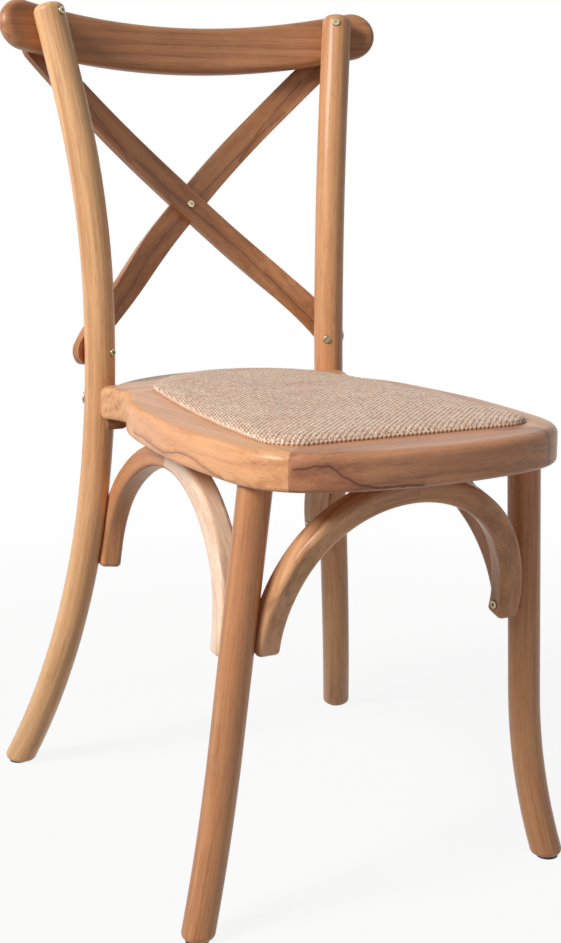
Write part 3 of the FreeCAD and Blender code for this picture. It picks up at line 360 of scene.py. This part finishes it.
def cane():
    """Woven cane: pale crowns with painted highlight, dark gaps with painted shade, fibres and a slight tone
    change from strand to strand.
    """
    g = Graph("cane_weave")
    height = g.attribute("weave", "Fac")
    place = g.place()
    strand = g.noise(g.mapped(place, (1, STRAND_STRETCH, 1)), STRAND_SCALE, detail=1.0)
    cross = g.noise(g.mapped(place, (STRAND_STRETCH, 1, 1)), STRAND_SCALE, detail=1.0)
    cloud = g.noise(place, scale=22.0, detail=3.0)
    fibre = g.noise(place, scale=1900.0, detail=2.0)
    fibres = g.math("MULTIPLY", g.math("SUBTRACT", fibre, NOISE_MIDDLE), FIBRE_SHARE)
    colour = g.ramp(g.math("ADD", height, fibres), CANE_SHADE_TONES)
    change = g.spread(g.weigh(strand, cross), low=0.35, high=0.65, start=0.86, end=1.08)
    colour = g.mix(1.0, colour, change, "MULTIPLY")
    cloud = g.spread(cloud, low=0.45, high=0.7, end=CANE_CLOUD_SHARE)
    colour = g.mix(cloud, colour, CANE_CLOUD, "MULTIPLY")
    rough = g.spread(fibre, low=0.3, high=0.7, start=0.5, end=0.66)
    normal = g.bump(fibre, FIBRE_RELIEF, strength=0.8)
    return g.finish(Base_Color=colour, Roughness=rough, Normal=normal,
                    Sheen_Weight=0.25, Sheen_Roughness=0.5, Specular_IOR_Level=0.4)


NAP_RELIEF = 0.4 * MM


def cloth(name):
    """Pale foam with a fine nap."""
    g = Graph(name)
    place = g.place()
    nap = g.noise(place, scale=900.0, detail=3.0)
    cloud = g.noise(place, scale=25.0, detail=3.0)
    colour = g.ramp(g.weigh(nap, cloud), [(0.35, shade(206, 198, 176)), (0.65, shade(236, 230, 212))])
    rough = g.spread(nap, low=0.3, high=0.7, start=0.85, end=0.95)
    normal = g.bump(nap, NAP_RELIEF, strength=0.9)
    return g.finish(Base_Color=colour, Roughness=rough, Normal=normal, Sheen_Weight=0.3)


BRUSHED_SHARE = 0.3
BRUSHED_RELIEF = 0.05 * MM


def metal(name):
    """Plated screw metal, slightly brushed and stained."""
    g = Graph(name)
    place = g.place()
    brushed = g.noise(g.mapped(place, (1, 1, 0.1)), scale=2600.0, detail=2.0)
    stain = g.noise(place, scale=420.0, detail=3.0)
    colour = g.ramp(g.weigh(stain, brushed, BRUSHED_SHARE),
                    [(0.35, shade(132, 120, 90)), (0.65, shade(206, 196, 166))])
    rough = g.spread(g.math("ADD", stain, brushed), low=0.7, high=1.3, start=0.22, end=0.4)
    normal = g.bump(brushed, BRUSHED_RELIEF, strength=0.6)
    return g.finish(Base_Color=colour, Roughness=rough, Normal=normal, Metallic=1.0)


MOULDED_RELIEF = 0.1 * MM


def plastic(name):
    """Dark moulded glide with scuffs."""
    g = Graph(name)
    place = g.place()
    grains = g.noise(place, scale=1500.0, detail=3.0)
    scuff = g.noise(g.mapped(place, (1, 1, 3)), scale=160.0, detail=4.0)
    colour = g.ramp(scuff, [(0.4, shade(36, 30, 27)), (0.7, shade(84, 74, 66))])
    rough = g.spread(scuff, low=0.35, high=0.7, start=0.42, end=0.7)
    return g.finish(Base_Color=colour, Roughness=rough, Normal=g.bump(grains, MOULDED_RELIEF, strength=0.8))


# Tones of one wood, from pale to deep
HONEY = (shade(240, 196, 148), shade(228, 180, 132), shade(194, 142, 98))
AMBER = (shade(220, 164, 118), shade(202, 144, 100), shade(162, 108, 72))
RUSSET = (shade(200, 146, 102), shade(180, 125, 86), shade(142, 92, 62))
SEAT_TONES = (shade(236, 186, 142), shade(220, 166, 122), shade(180, 126, 88))
# Paler wood tones with a painted highlight in them, for the strongly lit front half of the left hoop
CREAM_AND_HIGHLIGHT = (shade(250, 226, 204), shade(240, 208, 182), shade(206, 166, 136))
SANDY = (shade(226, 174, 126), shade(212, 156, 110), shade(172, 118, 78))
# Seat wood made darker for the front rail, a painted shade of its front face
SHADED_FRONT_TONES = (shade(216, 156, 117), shade(197, 140, 104), shade(152, 102, 74))
# Seat wood made brighter and more orange for the left rail, a painted light of its lit side
LIT_LEFT_TONES = (shade(240, 184, 136), shade(230, 170, 122), shade(194, 134, 92))


# Grain coordinates


# Degrees of the curves that are fitted to the middle of a pole and of an arch
POLE_DEGREE = 5
ARCH_DEGREE = 4


def points_of(mesh):
    """A mesh's points as rows of x, y, z."""
    flat = np.zeros(len(mesh.vertices) * 3, np.float32)
    mesh.vertices.foreach_get("co", flat)
    return flat.reshape(-1, 3).astype(float)


def unit(direction):
    """Direction with length 1."""
    direction = np.array(direction, float)
    return direction / np.linalg.norm(direction)


def along_line(points, start, heading):
    """Grain that runs straight along a direction that isn't upright."""
    heading = unit(heading)
    side = unit(np.cross(heading, (0.0, 0.0, 1.0)))
    other = np.cross(heading, side)
    away = points - np.array(start, float)
    return np.stack([away @ side, away @ other, away @ heading], axis=1)


def along_pole(points):
    """Grain that follows a bent upright pole, whose middle is fitted over its height."""
    height = points[:, 2]
    aside = [points[:, axis] - np.polyval(np.polyfit(height, points[:, axis], POLE_DEGREE), height)
             for axis in range(2)]
    return np.stack([*aside, height], axis=1)


def along_arch(points, centre, across):
    """Grain that follows an arch round a centre; across is level and square to the arch's run."""
    across = unit(across)
    run = np.cross((0.0, 0.0, 1.0), across)
    away = points - np.array(centre, float)
    turn = np.arctan2(away[:, 2], away @ run)
    reach = np.hypot(away[:, 2], away @ run)
    inside = np.polyval(np.polyfit(turn, reach, ARCH_DEGREE), turn)
    return np.stack([reach - inside, away @ across, turn * reach.mean()], axis=1)


def along_bow(points, centre, radius):
    """Grain that follows a level bow round an upright axis."""
    away = points - np.array(centre, float)
    turn = np.arctan2(away[:, 0], away[:, 1])
    reach = np.hypot(away[:, 0], away[:, 1])
    return np.stack([reach - radius, away[:, 2], turn * radius], axis=1)


def dressed(node, name, material, grain):
    """Copy of a node's shape that carries grain coordinates and stands for the node."""
    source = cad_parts[node]
    mesh = source.data.copy()
    piece = bpy.data.objects.new(name, mesh)
    bpy.context.scene.collection.objects.link(piece)
    coordinates = grain(points_of(mesh))
    layer = mesh.attributes.new("grain", "FLOAT_VECTOR", "POINT")
    layer.data.foreach_set("vector", coordinates.astype(np.float32).ravel())
    mesh.materials.clear()
    mesh.materials.append(material)
    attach(piece, "root")
    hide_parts(node)


def middle_of(node):
    """Middle of a node's box."""
    low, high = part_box(node)
    return (Vector(low) + Vector(high)) / 2


# Bent posts and legs

# Tone and seed of the post, and seed of the leg
POLES = {"right": (SANDY, 3.1, 5.2), "left": (HONEY, 1.4, 7.7)}
for side, (tones, post_seed, leg_seed) in POLES.items():
    post_wood = wood("post_wood_" + side, tones, post_seed, 0.3)
    dressed("rear_post_" + side, "bent_post_" + side, post_wood, along_pole)
    leg_wood = wood("leg_wood_" + side, AMBER, leg_seed, 0.35)
    dressed("front_leg_" + side, "bent_leg_" + side, leg_wood, along_pole)

# Crest rail and slats

CREST_BOW_RADIUS = 634 * MM
crest_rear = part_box("crest_rail")[1][1]
crest_centre = (0, crest_rear - CREST_BOW_RADIUS, middle_of("crest_rail").z)
crest_wood = wood("crest_wood", RUSSET, 2.3, 0.3)
dressed("crest_rail", "bowed_crest_rail", crest_wood,
        lambda points: along_bow(points, crest_centre, CREST_BOW_RADIUS))
SLAT_LINE = [(-210 * MM, 2 * MM), (-90 * MM, -4 * MM), (40 * MM, 3 * MM), (150 * MM, 8 * MM)]
SLAT_FLECK = [(70 * MM, 9 * MM), (120 * MM, 2 * MM), (190 * MM, -3 * MM)]
ALONG_GRAIN, ACROSS_GRAIN = 2, 1
# Axis that a mark runs along, axis across it, its points, width, reach of its stain, and tone
SLAT_MARKS = [(ALONG_GRAIN, ACROSS_GRAIN, SLAT_LINE, 0.9 * MM, 6 * MM, shade(104, 58, 38)),
              (ALONG_GRAIN, ACROSS_GRAIN, SLAT_FLECK, 1.2 * MM, 7 * MM, shade(112, 64, 44))]
for name, sign, seed in (("cross_slat_front", -1, 4.6), ("cross_slat_back", 1, 8.3)):
    low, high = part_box(name)
    slat_wood = wood(name + "_wood", RUSSET, seed, 0.5, SLAT_MARKS, "grain")
    dressed(name, name + "_plank", slat_wood,
            lambda points: along_line(points, middle_of(name),
                                      (sign * (high[0] - low[0]), 0, high[2] - low[2])))

# Seat rails

X, Y, Z = range(3)
FRONT_STREAK = [(-136 * MM, 461 * MM), (-111 * MM, 463 * MM), (-101 * MM, 457 * MM), (-85 * MM, 446 * MM),
                (-70 * MM, 442 * MM), (-24 * MM, 441 * MM)]
FRONT_STAIN = [(-138 * MM, 451 * MM), (-116 * MM, 450 * MM), (-82 * MM, 440 * MM)]
RIGHT_SEAM = [(439 * MM, 126 * MM), (473 * MM, 124 * MM)]
CORNER_STREAK = [(82 * MM, -262 * MM), (104 * MM, -262 * MM), (124 * MM, -274 * MM)]
SIDE_STREAK = [(-206 * MM, 441 * MM), (-183 * MM, 444 * MM), (-162 * MM, 449 * MM), (-135 * MM, 452 * MM),
               (-84 * MM, 445 * MM), (-33 * MM, 448 * MM), (15 * MM, 448 * MM)]
BURGUNDY = shade(92, 42, 34)
RUST = shade(160, 84, 48)
FRONT_MARKS = [(X, Z, FRONT_STAIN, 0.1 * MM, 24 * MM, RUST),
               (X, Z, FRONT_STREAK, 1.8 * MM, 9 * MM, BURGUNDY),
               (X, Y, CORNER_STREAK, 1.8 * MM, 14 * MM, BURGUNDY),
               (Z, X, RIGHT_SEAM, 0.7 * MM, 5 * MM, shade(92, 48, 32))]
SIDE_MARKS = [(Y, Z, SIDE_STREAK, 1.1 * MM, 5 * MM, shade(126, 64, 40))]
# Direction of each rail's grain, its seed, share of veins, tones and marks; the front rail's tones hold
# painted shade and the left rail's tones painted light
RAIL_GRAIN = {
    "seat_front_rail": ((1, 0, 0), 6.4, 0.8, SHADED_FRONT_TONES, FRONT_MARKS),
    "seat_right_rail": ((0.12, 1, 0), 9.6, 0.7, SEAT_TONES, []),
    "seat_left_rail": ((-0.12, 1, 0), 2.8, 0.5, LIT_LEFT_TONES, SIDE_MARKS),
    "seat_rear_rail": ((1, 0, 0), 11.5, 0.5, SEAT_TONES, []),
}
for node, (heading, seed, veins, tones, marks) in RAIL_GRAIN.items():
    rail_wood = wood(node + "_wood", tones, seed, veins, marks)
    dressed(node, node + "_board", rail_wood,
            lambda points: along_line(points, middle_of(node), heading))

# Hoops

# Direction across each hoop, and the tones and seeds of its halves
HOOPS = {
    "front_hoop": ((0, 1, 0), {"right_half": (AMBER, 12.7), "left_half": (SEAT_TONES, 14.9)}),
    "right_hoop": ((1, 0, 0), {"front_half": (AMBER, 16.2), "rear_half": (SEAT_TONES, 18.8)}),
    # The left hoop's front half is partly a paler wood and partly a painted highlight in its tones
    "left_hoop": ((1, 0, 0), {"front_half": (CREAM_AND_HIGHLIGHT, 21.3), "rear_half": (AMBER, 23.9)}),
}
for hoop, (across, halves) in HOOPS.items():
    corners = [Vector(corner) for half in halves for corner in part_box(hoop + "_" + half)]
    centre = sum(corners, Vector()) / len(corners)
    centre.z = min(corner.z for corner in corners)
    for half, (tones, seed) in halves.items():
        node = hoop + "_" + half
        dressed(node, node + "_bend", wood(node + "_wood", tones, seed, 0.5),
                lambda points: along_arch(points, centre, across))

# Hidden wood, metal and glides keep the shapes of their nodes


def repaint(nodes, material):
    """Give nodes a finish."""
    for node in nodes:
        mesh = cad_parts[node].data
        mesh.materials.clear()
        mesh.materials.append(material)


repaint(["corner_block_right", "corner_block_left", "rail_dowels", "hoop_spacers"],
        raw_wood("block_wood_bare", shade(172, 118, 78), shade(112, 70, 44), 1.7))
repaint(["seat_board"], raw_wood("board_ply", shade(214, 178, 130), shade(170, 130, 88), 5.1))
repaint([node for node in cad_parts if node.endswith(("screws", "screw", "bolts"))],
        metal("screw_plating"))
repaint(["foot_glides"], plastic("glide_plastic"))

# Padding under the mat

padding = bpy.data.objects.new("seat_pad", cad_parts["seat_padding"].data.copy())
bpy.context.scene.collection.objects.link(padding)
padding.data.materials.clear()
padding.data.materials.append(cloth("pad_foam"))
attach(padding, "root")
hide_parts("seat_padding")

# Woven mat

mat_low, mat_high = [Vector(corner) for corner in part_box("woven_mat")]
mat_middle = (mat_low + mat_high) / 2
dome = BVHTree.FromObject(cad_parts["woven_mat"], bpy.context.evaluated_depsgraph_get())
ABOVE = 0.1
RIM_SLACK = 2 * MM
HALVINGS = 14
SEAT_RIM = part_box("seat_front_rail")[1][2]


def dome_height(x, y):
    """Height of the mat's top at a place, or None beside the mat."""
    spot = dome.ray_cast(Vector((x, y, mat_high.z + ABOVE)), Vector((0, 0, -1)))[0]
    return spot.z if spot is not None and spot.z > SEAT_RIM - RIM_SLACK else None


def rim_reach(turn):
    """Distance from the mat's middle to its edge in one direction."""
    near, far = 0.0, MAT_OUTSIDE
    for _ in range(HALVINGS):
        middle = (near + far) / 2
        x = mat_middle.x + middle * math.cos(turn)
        y = mat_middle.y + middle * math.sin(turn)
        if dome_height(x, y) is None:
            far = middle
        else:
            near = middle
    return near


def strand(share):
    """Round profile across a strand, from 0 at its edges to 1 at its middle."""
    return np.sqrt(np.clip(1 - (2 * (share - np.floor(share)) - 1) ** 2, 0, 1))


LOT_COLUMN = 12.9898
LOT_CROWN = 78.233
LOT_SPREAD = 43758.5453


def weave(x, y):
    """Relief of the weave, from about 0 in the gaps to 1 on the crowns, and its tone, which follows the
    relief as painted shade in the gaps and painted highlight on the crowns.
    """
    turn = math.radians(WEAVE_TURN)
    u = (x * math.cos(turn) - y * math.sin(turn)) / WEAVE_PITCH
    v = (x * math.sin(turn) + y * math.cos(turn)) / WEAVE_PITCH
    column = np.floor(u)
    row = np.floor(v)
    lift = WEAVE_WAVE / WEAVE_RELIEF
    warp = strand(u) + lift * np.cos(np.pi * (v / WEAVE_FLOAT + column))
    weft = WEFT_HEIGHT * strand(v) - lift * np.cos(np.pi * ((row + 0.5) / WEAVE_FLOAT + u - 0.5))
    relief = (np.maximum(warp, weft) - GAP_DEPTH) / (1 - GAP_DEPTH + lift)
    # Each crown has its own tone, by a sine that turns too fast to show its order
    crown = np.floor(v / WEAVE_FLOAT + column + 0.5)
    lot = np.sin(column * LOT_COLUMN + crown * LOT_CROWN) * LOT_SPREAD
    # The tone starts from the relief: painted shade in the gaps and painted highlight on the crowns, plus a
    # random change from crown to crown
    tone = relief + CROWN_CHANGE * (lot - np.floor(lot) - 0.5)
    tone += np.where(warp > weft, WARP_TONE, WEFT_TONE)
    return relief, tone


def drift(beside, ahead, waves):
    """Slight unevenness of the strands: a long wave and a short one."""
    long = LONG_DRIFT * np.sin(beside / waves["long"] + waves["start"])
    return long + SHORT_DRIFT * np.sin(ahead / waves["short"])


def woven_mesh():
    """Grid over the dome, displaced by the weave."""
    columns = int((mat_high.x - mat_low.x) / WEAVE_STEP) + 1
    rows = int((mat_high.y - mat_low.y) / WEAVE_STEP) + 1
    x = mat_low.x + np.arange(columns) * WEAVE_STEP
    y = mat_low.y + np.arange(rows) * WEAVE_STEP
    turns = np.linspace(0, 2 * math.pi, CORD_SPOTS + 1)
    reaches = np.array([rim_reach(turn) for turn in turns]) - MAT_EDGE_INSET
    grid_x, grid_y = np.meshgrid(x, y)
    away_x = grid_x - mat_middle.x
    away_y = grid_y - mat_middle.y
    turn = np.mod(np.arctan2(away_y, away_x), 2 * math.pi)
    inside = np.hypot(away_x, away_y) < np.interp(turn, turns, reaches)
    base = np.zeros(grid_x.shape)
    for spot in zip(*np.nonzero(inside)):
        height = dome_height(grid_x[spot], grid_y[spot])
        base[spot] = mat_middle.z if height is None else height
    relief, tone = weave(grid_x + drift(grid_y, grid_x, DRIFT_ACROSS),
                         grid_y + drift(grid_x, grid_y, DRIFT_ALONG))
    index = np.full(inside.shape, -1)
    index[inside] = np.arange(inside.sum())
    vertices = np.stack([grid_x[inside], grid_y[inside], base[inside] + (relief[inside] - 1) * WEAVE_RELIEF],
                        axis=1)
    corners = [index[:-1, :-1], index[:-1, 1:], index[1:, 1:], index[1:, :-1]]
    faces = np.stack([corner.ravel() for corner in corners], axis=1)
    faces = faces[(faces >= 0).all(axis=1)]
    return vertices, faces, tone[inside], turns, reaches


def mesh_object(name, vertices, faces):
    """Smooth object from points and faces."""
    mesh = bpy.data.meshes.new(name)
    mesh.from_pydata(vertices.tolist(), [], faces.tolist())
    mesh.shade_smooth()
    piece = bpy.data.objects.new(name, mesh)
    bpy.context.scene.collection.objects.link(piece)
    return piece


def carry_weave_shading(piece, relief):
    """Write the weave's relief on a piece; the cane colours it as painted shade where low and painted
    highlight where high.
    """
    layer = piece.data.attributes.new("weave", "FLOAT", "POINT")
    layer.data.foreach_set("value", relief.astype(np.float32))


cane_finish = cane()
vertices, faces, relief, turns, reaches = woven_mesh()
mat = mesh_object("woven_cane", vertices, faces)
# The weave's tone goes on the mat, with its painted shade and highlight
carry_weave_shading(mat, relief)
mat.data.materials.append(cane_finish)
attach(mat, "root")
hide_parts("woven_mat")


def edge_cord():
    """Rolled edge of the mat with a knot at each strand, from the weave down to the wood, with painted shade
    between the knots, on its sides and at its foot, and painted highlight on top.
    """
    reach = reaches[:-1] + MAT_EDGE_INSET
    rim = np.stack([mat_middle.x + reach * np.cos(turns[:-1]), mat_middle.y + reach * np.sin(turns[:-1])],
                   axis=1)
    closed = np.vstack([rim, rim[:1]])
    lengths = np.concatenate([[0], np.cumsum(np.linalg.norm(np.diff(closed, axis=0), axis=1))])
    count = round(lengths[-1] / CORD_KNOT) * KNOT_STEPS
    place = np.arange(count) * lengths[-1] / count
    line = np.stack([np.interp(place, lengths, closed[:, axis]) for axis in range(2)], axis=1)
    ahead = np.roll(line, -1, axis=0) - np.roll(line, 1, axis=0)
    ahead /= np.linalg.norm(ahead, axis=1)[:, None]
    out = np.stack([ahead[:, 1], -ahead[:, 0]], axis=1)
    rows = []
    relief = []
    for step in range(CORD_RING + 1):
        turn = math.pi * CORD_TURN * (1 - step / CORD_RING)
        phase = (np.arange(count) / KNOT_STEPS + KNOT_SLANT * step / CORD_RING) * math.pi
        bulge = np.abs(np.sin(phase)) ** KNOT_ROUND
        width = CORD_RADIUS + CORD_BULGE * bulge
        inset = CORD_INSET - width * math.cos(turn)
        height = SEAT_RIM + CORD_RISE + width * math.sin(turn)
        rows.append(np.column_stack([line - out * inset[:, None], height]))
        # Painted light on the cord: lightest on top, darker on its sides and between the knots
        light = KNOT_SIDE_SHADE + (1 - KNOT_SIDE_SHADE) * math.sin(turn)
        relief.append(KNOT_GAP_SHADE + (1 - KNOT_GAP_SHADE) * bulge * light)
    foot = rows[-1].copy()
    foot[:, 2] = SEAT_RIM - CORD_FOOT
    rows.append(foot)
    # Painted shade: the cord's foot against the wood is darkest
    relief.append(np.zeros(count))
    vertices = np.stack(rows, axis=1)
    spot = np.arange(vertices.shape[0] * vertices.shape[1]).reshape(vertices.shape[:2])
    after = np.roll(spot, -1, axis=0)
    faces = np.stack([spot[:, :-1], spot[:, 1:], after[:, 1:], after[:, :-1]], axis=2)
    return vertices.reshape(-1, 3), faces.reshape(-1, 4), np.stack(relief, axis=1).ravel()


vertices, faces, relief = edge_cord()
cord = mesh_object("mat_edge_binding", vertices, faces)
# The cord's painted shade and highlight go on it as its weave tone
carry_weave_shading(cord, relief)
cord.data.materials.append(cane_finish)
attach(cord, "root")

# Floor and light

FLOOR_SIZE = 30.0
FLOOR_FADE_START = 0.5
FLOOR_FADE_END = 1.6
FLOOR_WHITE = 0.90
FLOOR_TONES = ((0.62, 0.62, 0.62, 1), (0.66, 0.66, 0.66, 1))
WHITE = (1, 1, 1, 1)
WORLD_LIGHT = 0.09
WORLD_COLOUR = (1.0, 0.94, 0.86, 1)
LAMP_TARGET = (0, 0, 0.5)
# Place, size, power and colour of each lamp
LAMPS = {
    "key": ((-2.6, -0.55, 2.35), 1.1, 112, (1, 0.98, 0.94)),
    "fill": ((1.2, -3.0, 1.6), 1.6, 6, (1, 0.97, 0.92)),
}
floor = mesh_object("floor", np.array([(-1, -1, 0), (1, -1, 0), (1, 1, 0), (-1, 1, 0)]) * FLOOR_SIZE / 2,
                    np.array([(0, 1, 2, 3)]))


def floor_material():
    """Pale floor that fades to white away from the chair and keeps its soft shadow."""
    g = Graph("floor_paper")
    place = g.place()
    grains = g.noise(place, scale=60.0, detail=3.0)
    colour = g.ramp(grains, [(0.3, FLOOR_TONES[0]), (0.7, FLOOR_TONES[1])])
    paper = g.add("BsdfDiffuse", {"Color": colour, "Roughness": 0.9}).outputs[0]
    white = g.add("Emission", {"Color": WHITE, "Strength": 1.0}).outputs[0]
    away = g.add("VectorMath", {0: place}, operation="LENGTH").outputs["Value"]
    share = g.spread(away, FLOOR_FADE_START, FLOOR_FADE_END, FLOOR_WHITE, 1.0)
    surface = g.add("MixShader", {0: g.math("MULTIPLY", g.seen(), share), 1: paper, 2: white})
    g.add("OutputMaterial", {"Surface": surface.outputs[0]})
    return g.owner


def studio_world():
    """Weak even light all round, seen as plain white."""
    g = Graph("studio", bpy.data.worlds)
    soft = g.add("Background", {"Color": WORLD_COLOUR, "Strength": WORLD_LIGHT}).outputs[0]
    white = g.add("Background", {"Color": WHITE, "Strength": 1.0}).outputs[0]
    surface = g.add("MixShader", {0: g.seen(), 1: soft, 2: white})
    g.add("OutputWorld", {"Surface": surface.outputs[0]})
    return g.owner


floor.data.materials.append(floor_material())
bpy.context.scene.world = studio_world()


def softbox(name, place, target, size, power, colour):
    """Square area lamp that points at a target."""
    data = bpy.data.lights.new(name, "AREA")
    data.size = size
    data.energy = power
    data.color = colour
    lamp = bpy.data.objects.new(name, data)
    bpy.context.scene.collection.objects.link(lamp)
    lamp.location = place
    lamp.rotation_mode = "QUATERNION"
    lamp.rotation_quaternion = (Vector(target) - Vector(place)).to_track_quat("-Z", "Y")


for name, (place, size, power, colour) in LAMPS.items():
    softbox(name, place, LAMP_TARGET, size, power, colour)

# Camera

camera_data = bpy.data.cameras.new("photo_view")
camera_data.sensor_width = CAMERA_SENSOR
camera_data.lens = CAMERA_LENS
camera = bpy.data.objects.new("photo_view", camera_data)
bpy.context.scene.collection.objects.link(camera)
seat_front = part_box("seat_front_rail")[0][1]
camera.location = (CAMERA_X, seat_front - CAMERA_BEFORE_SEAT, CAMERA_HEIGHT)
camera.rotation_euler = (math.radians(90 - CAMERA_PITCH), 0, math.radians(-CAMERA_YAW))
bpy.context.scene.camera = camera
bpy.context.scene.view_settings.view_transform = "Standard"
